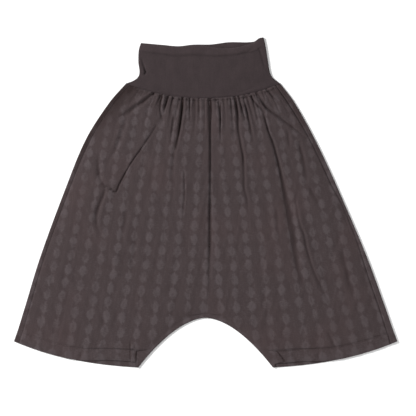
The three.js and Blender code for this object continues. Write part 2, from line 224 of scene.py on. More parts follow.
FOLDS = [
    # Along the centre seam
    fold(
        0.1,
        (9, -10, 3, 6), (10.6, 28, 3, 5.8), (10, 60, 2.5, 5.6), (10.2, 110, 2.7, 4.2),
        (10, 200, 2.9, 3.6), (9, 240, 3.1, 4.4), (9, 300, 3.4, 3.4), (9, 350, 4.2, 3),
        (8, 400, 5, 1.4), (8, 425, 5, 0),
    ),
    fold(0.5, (12, -10, 6, 3.2), (13, 30, 6, 2.6), (12, 75, 5, 0)),
    # On the wearer's right leg
    fold(
        1.4,
        (-48, -12, 2.6, 5), (-49, 20, 3.4, 7), (-53, 55, 3, 6.4), (-57, 80, 2.4, 3.6),
        (-62, 104, 3, 2),
    ),
    fold(0.5, (-62, 90, 4, 0), (-67, 120, 4.5, 2), (-70, 160, 5, 1.8), (-68, 205, 5, 0)),
    fold(0.4, (-67, 36, 2.4, 0), (-68, 50, 2.4, 2.2), (-72, 80, 2.4, 2), (-75, 105, 3, 0)),
    fold(
        -2,
        (-106, -12, 2.6, 2.6), (-130, 8, 4, 3.4), (-155, 26, 4.6, 3), (-182, 44, 5, 1),
        (-200, 60, 5, 0),
    ),
    fold(
        -0.8,
        (-180, -12, 9, 3), (-199, 18, 10, 5), (-221, 49, 9, 5), (-243, 84, 8, 4), (-260, 120, 7, 0),
    ),
    fold(0.6, (-170, -22, 4, 1.4), (-184, 0, 4, 1.8), (-204, 26, 4, 1.4), (-222, 52, 4, 0)),
    fold(
        1.1,
        (-100, 50, 3, 0), (-108, 66, 2.2, 1.8), (-133, 104, 1.8, 3.1), (-157, 138, 1.7, 3.2),
        (-180, 180, 1.7, 3), (-188, 197, 2.1, 3.6), (-200, 190, 2.4, 5), (-213, 184, 2.8, 3.4),
        (-218, 180, 3, 1),
    ),
    fold(
        1,
        (-211, 186, 3.4, 0), (-214, 203, 4, 2.6), (-225, 231, 4.4, 3), (-229, 259, 4.6, 2.8),
        (-219, 303, 5, 0),
    ),
    fold(0.6, (-228, 108, 5, 0), (-226, 135, 5, 2.6), (-222, 166, 4.5, 2.8), (-210, 190, 3.5, 1)),
    fold(
        0.8,
        (-166, 30, 5, 0), (-170, 50, 5, 2.8), (-180, 86, 5, 2.8), (-196, 120, 5, 1.6),
        (-204, 140, 5, 0),
    ),
    fold(0.5, (-166, 232, 5, 0), (-168, 250, 5, 2.2), (-174, 286, 5, 1.8), (-178, 308, 5, 0)),
    fold(0.5, (-146, 288, 6, 0), (-148, 304, 6, 1.8), (-155, 346, 6, 1.8), (-160, 372, 6, 0)),
    fold(0.8, (-90, -10, 2.4, 3.4), (-95, 24, 2.2, 3.4), (-91, 42, 2.4, 1), (-88, 54, 3, 0)),
    fold(0.6, (-75, -10, 2.2, 3.2), (-83, 16, 2.2, 2.6), (-87, 32, 2.4, 0)),
    fold(0.5, (-33, -10, 2, 3.4), (-33, 28, 2, 2.6), (-33, 52, 2.4, 0)),
    fold(0.5, (-14, -10, 2, 2.8), (-13, 24, 2, 2.2), (-13, 46, 2, 0)),
    fold(
        0.4,
        (-45, 144, 2.2, 0), (-45, 160, 2.2, 2), (-44, 196, 2.2, 2), (-47, 232, 2.2, 1.4),
        (-48, 256, 2.4, 0),
    ),
    fold(1, (-158, 505, 1.6, 0), (-158, 520, 1.6, 1.8), (-158, 540, 1.6, 1.5), (-157, 560, 1.6, 0.4)),
    fold(-0.4, (-149, 512, 1.4, 0), (-149, 522, 1.4, 1), (-150, 546, 1.4, 0.6)),
    fold(0.4, (-232, 340, 5, 0), (-222, 344, 5, 1.4), (-200, 352, 5, 1.4), (-170, 340, 5, 0)),
    fold(0.3, (-190, 328, 5, 0), (-180, 331, 5, 1.4), (-158, 338, 5, 1.4), (-125, 354, 5, 0)),
    fold(0.3, (-240, 370, 5, 0), (-225, 374, 5, 1.2), (-200, 380, 5, 1.2), (-160, 371, 5, 0)),
    # On the wearer's left leg
    fold(0.7, (31, 2, 2, 0), (31.5, 17, 1.9, 2.6), (31, 47, 1.9, 3), (31, 77, 2, 1.4), (31, 94, 2, 0)),
    fold(
        1.2,
        (59, -12, 2.6, 4), (66, 26, 2.8, 3.6), (68, 60, 3, 3.4), (73, 91, 3, 3.2),
        (79, 123, 2.8, 3.4), (80.5, 158, 3, 2.3), (81.5, 190, 3, 1.9), (87, 212, 3, 1.6),
        (89, 246, 3, 0),
    ),
    fold(0.6, (67, -10, 2.2, 2.6), (75, 20, 2.2, 3.2), (81, 38, 2.2, 2.2), (84, 54, 2.4, 0)),
    fold(
        0.6,
        (82, 8, 2.4, 0), (87, 27, 2.4, 2.8), (93, 56, 2.6, 2.8), (97, 79, 2.6, 1.4),
        (100, 98, 3, 0),
    ),
    fold(0.8, (88, -14, 2.4, 3), (106, 12, 2.4, 4), (120, 26, 2.4, 2.2), (131, 40, 2.6, 0)),
    fold(
        1.3,
        (103, -20, 2.8, 4), (119, 8, 3, 5.6), (133, 25, 3.2, 5), (150, 37, 3.4, 4.6),
        (171, 53, 3.4, 4), (190, 68, 3.6, 3.4), (209, 83, 4, 2), (228, 100, 5, 0),
    ),
    fold(
        1.1,
        (120, 28, 2.4, 0), (125, 44, 2.4, 3.2), (131, 67, 2.4, 3.8), (140.5, 91, 2.8, 3.8),
        (149.5, 123, 3.2, 4), (158.5, 159, 4, 4.6), (165.5, 194, 6, 4.8), (171.5, 228, 7.2, 4.4),
        (178, 266, 7.8, 3.4), (185, 312, 6.5, 3), (191, 350, 6, 2.4), (198, 374, 5.5, 1.6),
        (206, 400, 6, 0),
    ),
    fold(
        0.2,
        (172, 190, 7, 0), (179, 228, 8, 2.6), (185, 266, 8, 3), (191, 312, 7, 2.6),
        (206, 380, 7, 0),
    ),
    fold(0.6, (126, -20, 2.4, 2.6), (140, -4, 2.4, 3.2), (149, 5, 2.4, 1.6), (158, 17, 3, 0)),
    fold(0.4, (171, 64, 3, 0), (173, 78, 3, 2), (175, 97, 3, 1.4), (177, 112, 3, 0)),
    fold(
        0.6,
        (195, 86, 4, 0), (198, 104, 4, 2.4), (205, 134, 4.5, 2.6), (209, 161, 4.5, 1.6),
        (213, 184, 5, 0),
    ),
    fold(0.5, (216, 182, 4, 0), (221, 194, 4, 2), (232, 214, 4, 1.6), (240, 230, 4, 0)),
    fold(0.5, (281, 224, 4, 0), (286, 237, 4, 2), (294, 258, 4, 1.6), (300, 274, 4, 0)),
    fold(
        0.8,
        (187, 204, 3, 0), (190, 225, 3, 1.2), (198, 266, 3, 1.8), (207, 288, 3, 2),
        (211, 312, 3, 2.1), (221, 348, 3.4, 2.1), (232, 376, 3.6, 2), (240, 392, 3.6, 1.7),
        (251, 414, 4, 0.9), (263, 442, 5, 0),
    ),
    fold(
        0.3,
        (283, 314, 4.5, 0), (287, 332, 4.5, 1.4), (295, 361, 4.5, 1.6), (301, 392, 4.5, 1),
        (306, 412, 5, 0),
    ),
    fold(0.3, (147, 226, 5, 0), (148, 242, 5, 1.6), (152, 286, 5, 1.4), (154, 304, 5, 0)),
    fold(0.4, (254, 484, 3.5, 0), (259, 496, 3.5, 1.2), (271, 522, 3.5, 1.2), (277, 536, 4, 0)),
]
FOLD_SAMPLES = 30

# Painted shade along the seams, on the shoulders, at the hems and in the gathers, from 0 to 1, and how
# far it reaches
SEAM_SHADES = table(
    "level right left",
    (0, 0.6, 0.6),
    (20, 0.6, 0.9),
    (65, 0.3, 0.9),
    (90, 0.15, 0.3),
    (150, 0.1, 0.25),
    (175, 0.15, 0.6),
    (225, 0.2, 0.25),
    (250, 0.2, 0.05),
    (310, 0.2, 0.05),
    (345, 0.2, 0.4),
    (400, 0.2, 0.5),
)
CENTRE_SHADES = table(
    "level shade",
    (40, 0),
    (70, 0.45),
    (190, 0.5),
    (250, 0.85),
    (300, 0.8),
    (345, 0.2),
    (400, 0),
)
SHOULDER_SHADES = {RIGHT: 0.8, LEFT: 0.25}
SHOULDER_WIDTHS = {RIGHT: 22, LEFT: 11}
HEM_SHADES = {RIGHT: 0.14, LEFT: 0.42}
CORNER_SHADE = 0.85
GATHER_SHADE = 0.08

# Painted shade on the turned edges at their top and foot. Below 0 it is painted light.
SIDE_SHADES = {RIGHT: (0.6, 0.04), LEFT: (0.25, -0.4)}
CROTCH_SHADES = (-0.3, -0.3)

# Painted light: how much paler the doubled cloth of a hem is painted below its stitching
HEM_PAINTED_LIGHT = 0.28

# How deep the gathers are, and how much of that the sides lack
GATHER_DEPTHS = {"front": 0.8, "back": 0.35}
SHOULDER_CALM = {RIGHT: 0.8, LEFT: 0.5}

# Ridges, dips, steps and grooves along the seams and hems, and the least height of the front
SIDE_RIDGES = {RIGHT: 0.15, LEFT: 0.25}
SEAM_DIP = 0.7
HEM_DIP = {RIGHT: 0.6, LEFT: 1.2}
HEM_STEP = 0.9
HEM_GROOVES = {RIGHT: 0.5, LEFT: 0.9}
LOWEST_FRONT = 3.4

# Rows at a panel's gathers, body and leg, and the other counts of the meshes
FRONT_ROWS = (60, 104, 44)
BACK_ROWS = (30, 60, 30)
FRONT_COLUMNS = 196
BACK_COLUMNS = 90
BEND_STEPS = 10
LIP_STEPS = 8
BAND_ROWS = 96
BAND_COLUMNS = 150


def smoothstep(value, low, high):
    t = np.clip((value - low) / (high - low), 0, 1)
    return t * t * (3 - 2 * t)


def bell(distance, width):
    return np.exp(-((distance / width) ** 2))


def stacked(*values):
    return np.stack(np.broadcast_arrays(*values), axis=-1)


def side_name(sign):
    return "right" if sign < 0 else "left"


def look_up(rows, key, name, at):
    return np.interp(at, rows[key], rows[name])


def look_up_smooth(rows, key, name, at):
    """The value of a column on a smooth curve through the rows."""
    places, values = rows[key], rows[name]
    before = np.maximum(np.arange(len(places)) - 1, 0)
    after = np.minimum(np.arange(len(places)) + 1, len(places) - 1)
    slopes = (values[after] - values[before]) / (places[after] - places[before])
    at = np.clip(at, places[0], places[-1])
    i = np.clip(np.searchsorted(places, at, "right") - 1, 0, len(places) - 2)
    span = places[i + 1] - places[i]
    t = (at - places[i]) / span
    start = (1 + 2 * t) * (1 - t) ** 2 * values[i] + t * (1 - t) ** 2 * span * slopes[i]
    end = t * t * (3 - 2 * t) * values[i + 1] + t * t * (t - 1) * span * slopes[i + 1]
    return start + end


def side_width(leg, level):
    return look_up_smooth(SIDES, "level", side_name(leg), level)


def side_roll(leg, level):
    return look_up_smooth(SIDE_ROLLS, "level", side_name(leg), level)


def crotch_roll(leg, level):
    return look_up(CROTCH_ROLL, "level", side_name(leg), level)


def level_y(leg, x, level):
    """Height in the plan of the curve at this level."""
    rise = look_up_smooth(RISES, "level", "rise", level)
    power = look_up(RISES, "level", "power", level)
    return WAIST_SEAM_Y - level + rise * np.abs(x / side_width(leg, level)) ** power


def crotch_fold(leg, level):
    share = np.maximum(level - CROTCH_LEVEL, 0) / (HEM_LEVEL - CROTCH_LEVEL)
    x = leg * ((LEG_GAP - SEAM_GAP) * share ** (1 / CROTCH_CURVE) + SEAM_GAP) / 2
    return np.stack([x, level_y(leg, x, level)], axis=-1)


def into_cloth(leg, level):
    """Direction in the plan from the crotch fold into the cloth, straight across at the hem."""
    along = crotch_fold(leg, level + 0.5) - crotch_fold(leg, np.maximum(level - 0.5, CROTCH_LEVEL))
    along /= np.linalg.norm(along, axis=-1, keepdims=True)
    inward = np.stack([-along[..., 1] * leg, along[..., 0] * leg], axis=-1)
    across = smoothstep(level, CROTCH_LEVEL + 25, CORNER_LEVEL - 5)[..., None]
    inward = inward * (1 - across) + np.array([leg, 0.0]) * across
    inward /= np.linalg.norm(inward, axis=-1, keepdims=True)
    return np.where((level > CROTCH_LEVEL)[..., None], inward, [0.0, 1.0])


def inner_end(leg, level, inset):
    """A panel's inner end, on the centre seam or below the crotch on the crotch fold."""
    x = look_up(CENTRE_SEAM, "level", "x", level) + leg * SEAM_GAP / 2
    lift = inset * smoothstep(level, CROTCH_LEVEL - 160, CROTCH_LEVEL)
    seam = np.stack([x, level_y(leg, x, level) + lift], axis=-1)
    fold = crotch_fold(leg, level) + into_cloth(leg, level) * inset[..., None]
    return np.where((level > CROTCH_LEVEL)[..., None], fold, seam)


def gather_ends(leg):
    k = np.arange(GATHERS)
    widths = 1 + GATHER_WIDTH_SWING * np.sin(2.4 * k + leg) * np.sin(1.1 * k + 2)
    return np.concatenate([[0], np.cumsum(widths) / widths.sum()])


def share_at(leg, gather, level):
    share = np.interp(gather, np.arange(GATHERS + 1), gather_ends(leg))
    crowding = SIDE_CROWDING * np.exp(-level / CROWDING_REACH)
    return share * (1 + crowding) / (1 + crowding * share)


def cross_sections(leg, levels, gathers, crotch_inset, side_inset, drawn_up=0):
    """Plan of a panel: rows by level and columns by gather. It can be drawn up near the crotch."""
    drawn_up = drawn_up + 0 * levels
    inner = inner_end(leg, levels - drawn_up, crotch_inset)[:, None, :]
    side_x = (leg * (side_width(leg, levels) - side_inset))[:, None]
    level, gather = np.broadcast_arrays(levels[:, None], gathers[None, :])
    share = share_at(leg, gather, level)
    x = inner[..., 0] + (side_x - inner[..., 0]) * share
    lift = inner[..., 1] - level_y(leg, inner[..., 0], level[:, :1]) - drawn_up[:, None]
    y = level_y(leg, x, level) + lift * (1 - share) ** 3
    y = y + drawn_up[:, None] * smoothstep(-share, -0.58, -0.15)
    return {"level": level, "gather": gather, "share": share, "x": x, "y": y}


def levels_of(gathered, body, legs):
    """Levels from the waist seam to the hem, closest near the gathers and the crotch."""
    top = np.linspace(0, 1, gathered) ** 1.4 * 70
    middle = np.linspace(70, CROTCH_LEVEL, body)[1:]
    leg = CROTCH_LEVEL + np.linspace(0, 1, legs)[1:] ** CROTCH_CURVE * (HEM_LEVEL - CROTCH_LEVEL)
    hem = STITCH_LEVEL + np.arange(-15, 22.5, 1.5)
    return np.unique(np.concatenate([top, middle, leg, hem]))


def smooth_line(points):
    """Samples of a smooth curve through points whose first two columns are across and down."""
    places = np.arange(len(points), dtype=float)
    at = np.linspace(0, len(points) - 1, FOLD_SAMPLES)
    columns = [look_up_smooth({"at": places, "value": c}, "at", "value", at) for c in points.T[:2]]
    columns += [np.interp(at, places, c) for c in points.T[2:]]
    columns[1] = WAIST_SEAM_Y - columns[1]
    return np.stack(columns, axis=-1)


def nearest_on(line, x, y):
    """How far along a line each point lies, and how far on its left hand, or below 0 its right."""
    best, along, side = np.full(x.shape, np.inf), np.zeros(x.shape), np.ones(x.shape)
    for i, (a, b) in enumerate(zip(line[:-1], line[1:])):
        run = b - a
        away_x, away_y = x - a[0], y - a[1]
        share = np.clip((away_x * run[0] + away_y * run[1]) / (run @ run), 0, 1)
        away = np.hypot(away_x - share * run[0], away_y - share * run[1])
        nearer = away < best
        best = np.where(nearer, away, best)
        along = np.where(nearer, (i + share) / (len(line) - 1), along)
        side = np.where(nearer, np.sign(run[0] * away_y - run[1] * away_x), side)
    return along, best * side


def fold_relief(x, y):
    """Troughs and ridges of the folds at points of the front."""
    relief = np.zeros(x.shape)
    for ridge, points in FOLDS:
        line = smooth_line(points)
        reach = 4 * line[:, 2].max()
        low, high = line.min(axis=0) - reach, line.max(axis=0) + reach
        near = (x > low[0]) & (x < high[0]) & (y > low[1]) & (y < high[1])
        along, away = nearest_on(line[:, :2], x[near], y[near])
        share = np.linspace(0, 1, len(line))
        width = np.interp(along, share, line[:, 2])
        depth = np.interp(along, share, line[:, 3])
        crest = abs(ridge) * depth / line[:, 3].max()
        ridge_away = away - np.sign(ridge) * 1.9 * width
        relief[near] += crest * bell(ridge_away, 1.2 * width)
        relief[near] -= depth * bell(away, width)
    return relief


def gather_relief(leg, places, depth_scale):
    """Pleats that run down from the waist seam, each with its own depth, width and length."""
    rng = np.random.RandomState(40 + leg)
    level, gather = places["level"], places["gather"]
    start = smoothstep(level, 0, 4)
    relief = np.zeros(level.shape)
    pleats = [(k, MAIN_PLEATS) for k in range(GATHERS + 1)]
    pleats += [(k, SMALL_PLEATS) for k in rng.uniform(0.2, GATHERS - 0.2, SMALL_COUNT)]
    for k, kind in pleats:
        depth, reach, width = (rng.uniform(*kind[name]) for name in ("depth", "reach", "width"))
        lean = rng.uniform(-PLEAT_LEAN, PLEAT_LEAN)
        away = (gather - k - lean * level) / (width * (1 + level / 120))
        relief -= depth * start * bell(level, reach) * bell(away, 1)
    return relief * depth_scale * (1 - SHOULDER_CALM[leg] * smoothstep(places["share"], 0.5, 0.75))


def knot_relief(leg, places):
    """Small knots of cloth just under the waist seam."""
    rng = np.random.RandomState(60 + leg)
    level, gather = places["level"], places["gather"]
    relief = np.zeros(level.shape)
    for k in range(2 * GATHERS):
        at = (k + 0.5) / 2 + rng.uniform(-KNOTS["shift"], KNOTS["shift"])
        down = rng.uniform(*KNOTS["down"])
        height = rng.uniform(*KNOTS["height"])
        relief += height * bell(gather - at, 0.22) * bell(level - down, 2.2)
    return relief


def undulation(x, y, height, seed, count, shortest, longest):
    """Soft unevenness of cloth lying down, longer along the garment than across it."""
    rng = np.random.RandomState(seed)
    total = np.zeros(x.shape)
    for _ in range(count):
        across = rng.choice([-1, 1]) * 2 * math.pi / rng.uniform(shortest, longest)
        along = 2 * math.pi / rng.uniform(2 * shortest, 4 * longest)
        total += np.cos(across * x + along * y + rng.uniform(0, 2 * math.pi))
    return height * (total / math.sqrt(count))


def hem_relief(leg, level, gather):
    """The turned-up hem: a step at its stitching, puckers along it and a round lower edge."""
    from_stitches = level - STITCH_LEVEL
    from_edge = HEM_LEVEL - level
    step = HEM_STEP * smoothstep(from_stitches, -1.5, 2)
    groove = -HEM_GROOVES[leg] * bell(from_stitches, 1.8)
    pucker = (0.2 * np.cos(gather * 17) + 0.2 * np.cos(gather * 29)) * bell(from_stitches, 6)
    edge = -0.9 * np.exp(-from_edge / 1.2) - 0.8 * np.exp(-from_edge / 6)
    return step + groove + pucker + edge


def front_form(leg, places):
    """Form of the front before its edges are lowered: its loft, folds, gathers and unevenness."""
    level, x, y = places["level"], places["x"], places["y"]
    gathers = gather_relief(leg, places, GATHER_DEPTHS["front"])
    relief = fold_relief(x, y) + gathers + knot_relief(leg, places)
    soft = sum(undulation(x, y, **waves) for waves in FRONT_WAVES)
    return look_up(LOFTS, "level", "loft", level) + relief + soft * smoothstep(level, 0, 30)


def seam_relief(leg, places):
    """Dips of the front at its seams, with a low ridge beside the side seam."""
    level, share = places["level"], places["share"]
    from_centre = share * side_width(leg, level)
    from_side = (1 - share) * side_width(leg, level)
    above_crotch = smoothstep(-level, -CROTCH_LEVEL, -CROTCH_LEVEL + 150)
    centre = -0.5 * np.exp(-from_centre / 2) * above_crotch
    return centre + SIDE_RIDGES[leg] * bell(from_side - 4.5, 2.4) - 1.2 * bell(from_side, 1.6)


def front_height(leg, places, form):
    """Height of the front's upper face, low at its edges and seams, with its hem."""
    level, share = places["level"], places["share"]
    crotch = smoothstep(level, CROTCH_LEVEL - 25, CROTCH_LEVEL)
    edge = (1 - share**18) * (1 - crotch * (1 - share) ** 16)
    raised = np.maximum(FRONT_BASE + form * edge + seam_relief(leg, places), LOWEST_FRONT)
    return raised + hem_relief(leg, level, places["gather"])


def seam_shade(leg, places):
    """Painted shade of the front along its side seam, on its shoulder and along the centre seam."""
    level = places["level"]
    from_side = (1 - places["share"]) * side_width(leg, level)
    past_centre = places["x"] - look_up(CENTRE_SEAM, "level", "x", level)
    side = look_up(SEAM_SHADES, "level", side_name(leg), level) * bell(from_side, 2)
    shoulder = SHOULDER_SHADES[leg] * bell(from_side, SHOULDER_WIDTHS[leg])
    shoulder = shoulder * smoothstep(-level, -150, -30)
    centre = look_up(CENTRE_SHADES, "level", "shade", level) * bell(past_centre - 0.9, 2.3)
    return np.maximum.reduce([side, shoulder, centre])


def hem_shade(leg, places):
    """Painted shade of the front along its hem's stitching and at the hem's inner corner."""
    gather, x, y = places["gather"], places["x"], places["y"]
    from_stitches = places["level"] - STITCH_LEVEL
    from_inner = np.hypot(x - x[:, :1], y - y[:, :1])
    uneven = 0.7 + 0.3 * np.cos(1.7 * gather + leg) * np.cos(4.1 * gather)
    stitched = HEM_SHADES[leg] * uneven * bell(from_stitches, 2.3)
    corner = CORNER_SHADE * smoothstep(from_stitches, -3, 0) * bell(from_inner, 2.8)
    return np.maximum(stitched, corner)


def front_shade(leg, places, form):
    """Painted shade at each point of the front, up to 1 in a deep fold. Below 0 it is painted light."""
    level, creases = places["level"], crease_of(form, 24, 3)
    shade = np.maximum.reduce([creases, seam_shade(leg, places), hem_shade(leg, places)])
    shade = shade + GATHER_SHADE * smoothstep(-level, -45, -12)
    # Painted light on the hem below its stitching, where no painted shade lies
    paler = HEM_PAINTED_LIGHT * smoothstep(level - STITCH_LEVEL, 1, 5)
    return shade - paler * smoothstep(-shade, -0.1, -0.02)


def crease_of(height, rounds, deepest):
    """How deep a point lies under the cloth on both sides of it, from 0 to 1, used as painted shade."""
    around = height.copy()
    for _ in range(rounds):
        around[:, 1:-1] = (around[:, :-2] + around[:, 2:] + 2 * around[:, 1:-1]) / 4
    return np.clip((around - height) / deepest, 0, 1)


# Weave repeats: each panel's columns fan out from its own point, and its rows rise to the sides
COLUMN_APEX_X = {RIGHT: 113, LEFT: -97}
COLUMN_APEX_Y = 2105
COLUMN_PITCH = 0.01433
COLUMN_SHIFTS = table(
    "down right left left_outer",
    (138, 0.42, 0.45, 0.9),
    (184, 0.42, 0.4, 0.83),
    (230, 0.42, 0.25, 0.76),
    (276, 0.42, 0.21, 0.7),
    (322, 0.42, 0.15, 0.6),
    (369, 0.49, 0.16, 0.48),
    (415, 0.55, 0.16, 0.45),
    (461, 0.55, 0.15, 0.26),
    (507, 0.55, 0.11, 0.15),
)
LARGEST_FOLD = table(
    "down x",
    (44, 125),
    (91, 140),
    (159, 156),
    (228, 166),
    (312, 181),
    (374, 196),
    (460, 230),
)
ROW_APEX_X = 8
ROW_APEX_Y = {RIGHT: 1740, LEFT: 1406}
ROW_FIRST_Y = -49
ROW_PITCH = 27.5
ROW_GROWTH = 7.9e-6


def pattern_place(leg, x, y):
    """Column and row of the weave's repeat at points of a panel. Cloth hidden in the folds shifts
    the columns, on the left leg more beyond its largest fold."""
    down = WAIST_SEAM_Y - y
    shift = look_up(COLUMN_SHIFTS, "down", side_name(leg), down)
    if leg == LEFT:
        outer = look_up(COLUMN_SHIFTS, "down", "left_outer", down)
        past_fold = x - look_up(LARGEST_FOLD, "down", "x", down)
        shift = shift + (outer - shift) * smoothstep(past_fold, -4, 4)
    column = (x - COLUMN_APEX_X[leg]) / (COLUMN_APEX_Y - y) / COLUMN_PITCH + shift
    apex_y = ROW_APEX_Y[leg]
    out = np.hypot(x - ROW_APEX_X, apex_y - y) - (apex_y - ROW_FIRST_Y)
    return column, out / ROW_PITCH - ROW_GROWTH * out**2


class Shell:
    """A thin wall of cloth. Spots are its outer points, its inner points, and for each the place
    in the weave and the painted shade."""

    def __init__(self, flipped=False):
        self.flipped = flipped
        self.points, self.cloth = [], []

    def add(self, *corners):
        if self.flipped:
            corners = corners[::-1]
        self.points.append(np.stack([p for p, _ in corners], axis=-2).reshape(-1, 4, 3))
        self.cloth.append(np.stack([c for _, c in corners], axis=-2).reshape(-1, 4, 3))

    def grid(self, spots):
        outer, inner, cloth = spots
        for face, order in ((outer, (0, 1, 2, 3)), (inner, (0, 3, 2, 1))):
            cuts = [np.s_[:-1, :-1], np.s_[1:, :-1], np.s_[1:, 1:], np.s_[:-1, 1:]]
            self.add(*[(face[cuts[i]], cloth[cuts[i]]) for i in order])

    def edge(self, spots):
        """Closes a cut edge along spots that run anticlockwise round the outside."""
        outer, inner, cloth = spots
        a, b = np.s_[:-1], np.s_[1:]
        self.add((outer[b], cloth[b]), (outer[a], cloth[a]), (inner[a], cloth[a]), (inner[b], cloth[b]))

    def ends(self, spots):
        """Closes the first and the last row."""
        self.edge(pick(spots, np.s_[0, ::-1]))
        self.edge(pick(spots, np.s_[-1, :]))

    def piece(self, name, node, material):
        points = np.concatenate(self.points).reshape(-1, 3)
        cloth = np.concatenate(self.cloth).reshape(-1, 3)
        places, index = np.unique(np.round(points, 3), axis=0, return_inverse=True)
        mesh = bpy.data.meshes.new(name)
        mesh.vertices.add(len(places))
        mesh.vertices.foreach_set("co", (places * MM).ravel())
        mesh.loops.add(len(points))
        mesh.loops.foreach_set("vertex_index", index.ravel().astype("i"))
        mesh.polygons.add(len(points) // 4)
        mesh.polygons.foreach_set("loop_start", np.arange(0, len(points), 4, dtype="i"))
        mesh.uv_layers.new(name="cloth").uv.foreach_set("vector", cloth[:, :2].ravel())
        # The cloth's third value is painted shade, darker above 0, and painted light below 0
        painted_shade = mesh.attributes.new("painted_shade", "FLOAT", "CORNER")
        painted_shade.data.foreach_set("value", cloth[:, 2].copy())
        mesh.update(calc_edges=True)
        mesh.validate()
        mesh.shade_smooth()
        mesh.set_sharp_from_angle(angle=math.radians(55))
        return dress(mesh, name, node, material)


def dress(mesh, name, node, material):
    made = bpy.data.objects.new(name, mesh)
    bpy.context.scene.collection.objects.link(made)
    mesh.materials.append(material)
    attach(made, "root")
    if node:
        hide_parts(node)
    return made


def spots_of(x, y, outer, inner, cloth_u, cloth_v, shade):
    return stacked(x, y, outer), stacked(x, y, inner), stacked(cloth_u, cloth_v, shade)


def pick(spots, where):
    return tuple(part[where] for part in spots)


def hem_line(places, height):
    """Points on the cloth along the stitching of a hem."""
    row = int(np.argmin(np.abs(places["level"][:, 0] - STITCH_LEVEL)))
    return np.stack([places["x"][row], places["y"][row], height[row] + 0.1], axis=-1)


def front_panel(leg, material):
    """The front of a leg, and the line of its hem's stitching."""
    levels = levels_of(*FRONT_ROWS)
    gathers = np.linspace(0, GATHERS, FRONT_COLUMNS)
    near_hem = smoothstep(levels, HEM_LEVEL - 2.6 * HEM_DEPTH, HEM_LEVEL - 0.4 * HEM_DEPTH)
    drawn_up = HEM_LIFT[leg] * near_hem
    crotch_inset = WOVEN_BEND + crotch_roll(leg, levels - drawn_up) + SEAM_GAP
    side_inset = WOVEN_BEND + side_roll(leg, levels) + SEAM_GAP
    places = cross_sections(leg, levels, gathers, crotch_inset, side_inset, drawn_up)
    form = front_form(leg, places)
    top = front_height(leg, places, form)
    column, row = pattern_place(leg, places["x"], places["y"])
    shade = front_shade(leg, places, form)
    spots = spots_of(places["x"], places["y"], top, top - WOVEN, column, row, shade)
    shell = Shell(flipped=leg == RIGHT)
    shell.grid(spots)
    shell.ends(spots)
    shell.edge(pick(spots, np.s_[:, 0]))
    shell.edge(pick(spots, np.s_[::-1, -1]))
    name = side_name(leg)
    made = shell.piece(f"front_cloth_{name}", f"front_panel_{name}", material)
    return made, hem_line(places, top)


def turned_edge(start, outward, radius, thickness, roll, dip_by, follow_y=None):
    """Cloth from flat on the surface round half a turn and back by the roll, its end dipped."""
    turn = np.linspace(0, math.pi, BEND_STEPS + 1)[None, 1:]
    run = np.linspace(0, 1, LIP_STEPS + 1)[None, 1:] ** 0.7
    roll = np.asarray(roll, float)[:, None]
    flat = np.zeros_like(roll)
    dip = dip_by * run**12 + flat
    inside = radius - thickness
    away = {
        "outer": np.concatenate([radius * np.sin(turn) + flat, -run * roll], axis=1),
        "inner": np.concatenate([inside * np.sin(turn) + flat, -run * roll], axis=1),
    }
    outer_bend = radius * (1 - np.cos(turn)) + flat
    inner_bend = radius - inside * np.cos(turn) + flat
    height = {
        "outer": np.concatenate([outer_bend, 2 * radius - dip], axis=1),
        "inner": np.concatenate([inner_bend, 2 * radius - thickness - dip], axis=1),
    }
    faces = []
    for face in ("outer", "inner"):
        x = start[:, None, 0] + outward[:, None, 0] * away[face]
        y = start[:, None, 1] + outward[:, None, 1] * away[face]
        y = follow_y(x) if follow_y else y
        faces.append(np.stack([x, y, height[face]], axis=-1))
    return faces


def joined(flat, faces, leg, first_column, shades):
    """Spots of a turned edge, from the flat run's end onwards, with painted shade, and two stripes of
    painted shade along it.
    """
    outer, inner = faces
    column, row = pattern_place(leg, outer[..., 0], outer[..., 1])
    top, foot = shades
    down = smoothstep(WAIST_SEAM_Y - outer[..., 1], 20, 260)
    shade_lines = 0.5 + 0.5 * np.cos(np.linspace(0, 3, outer.shape[1]) * math.pi)
    shade = (top + (foot - top) * down) * (0.6 + 0.4 * shade_lines) + 0.15 * shade_lines
    cloth = np.stack([column, row, shade], axis=-1)
    parts = zip(flat, (outer, inner, cloth))
    return tuple(np.concatenate([a[:, first_column, None], b], axis=1) for a, b in parts)


def back_flat(leg, places):
    """Spots of the back's flat part. It lifts off the surface in the hollows of its gathers."""
    x, y, level, share = (places[name] for name in ("x", "y", "level", "share"))
    margin = smoothstep(share, 0, 0.05) * smoothstep(1 - share, 0, 0.05)
    hollow = -gather_relief(leg, places, GATHER_DEPTHS["back"]) - 0.22 * fold_relief(-x, y)
    under = np.clip(hollow * margin * smoothstep(CROTCH_LEVEL + 70 - level, 0, 60), 0, 1.3)
    hem = 0.6 * smoothstep(level, STITCH_LEVEL - 1, STITCH_LEVEL)
    column, row = pattern_place(leg, x, y)
    # Painted shade where the back lifts off the surface: half its lift in millimetres
    return spots_of(x, y, under, under + WOVEN + hem, column, row, under / 2)


def side_turn(leg, levels, flat):
    """Spots of the back where it turns round the side on to the front."""
    start = flat[0][:, -1, :2]
    outward = np.broadcast_to([float(leg), 0.0], start.shape)

    def follow_y(x):
        return level_y(leg, x, levels[:, None])

    roll = side_roll(leg, levels)
    faces = turned_edge(start, outward, WOVEN_BEND, WOVEN, roll, SEAM_DIP, follow_y)
    return joined(flat, faces, leg, -1, SIDE_SHADES[leg])


def crotch_turn(leg, levels, flat):
    """Spots of the back where it turns round the crotch on to the front."""
    start = flat[0][:, 0, :2]
    outward = -into_cloth(leg, levels)
    on_hem = smoothstep(levels, CORNER_LEVEL - 3, CORNER_LEVEL + 1)
    dip = HEM_DIP[leg] * on_hem[:, None]
    faces = turned_edge(start, outward, WOVEN_BEND, WOVEN, crotch_roll(leg, levels), dip)
    return pick(joined(flat, faces, leg, 0, CROTCH_SHADES), np.s_[:, ::-1])


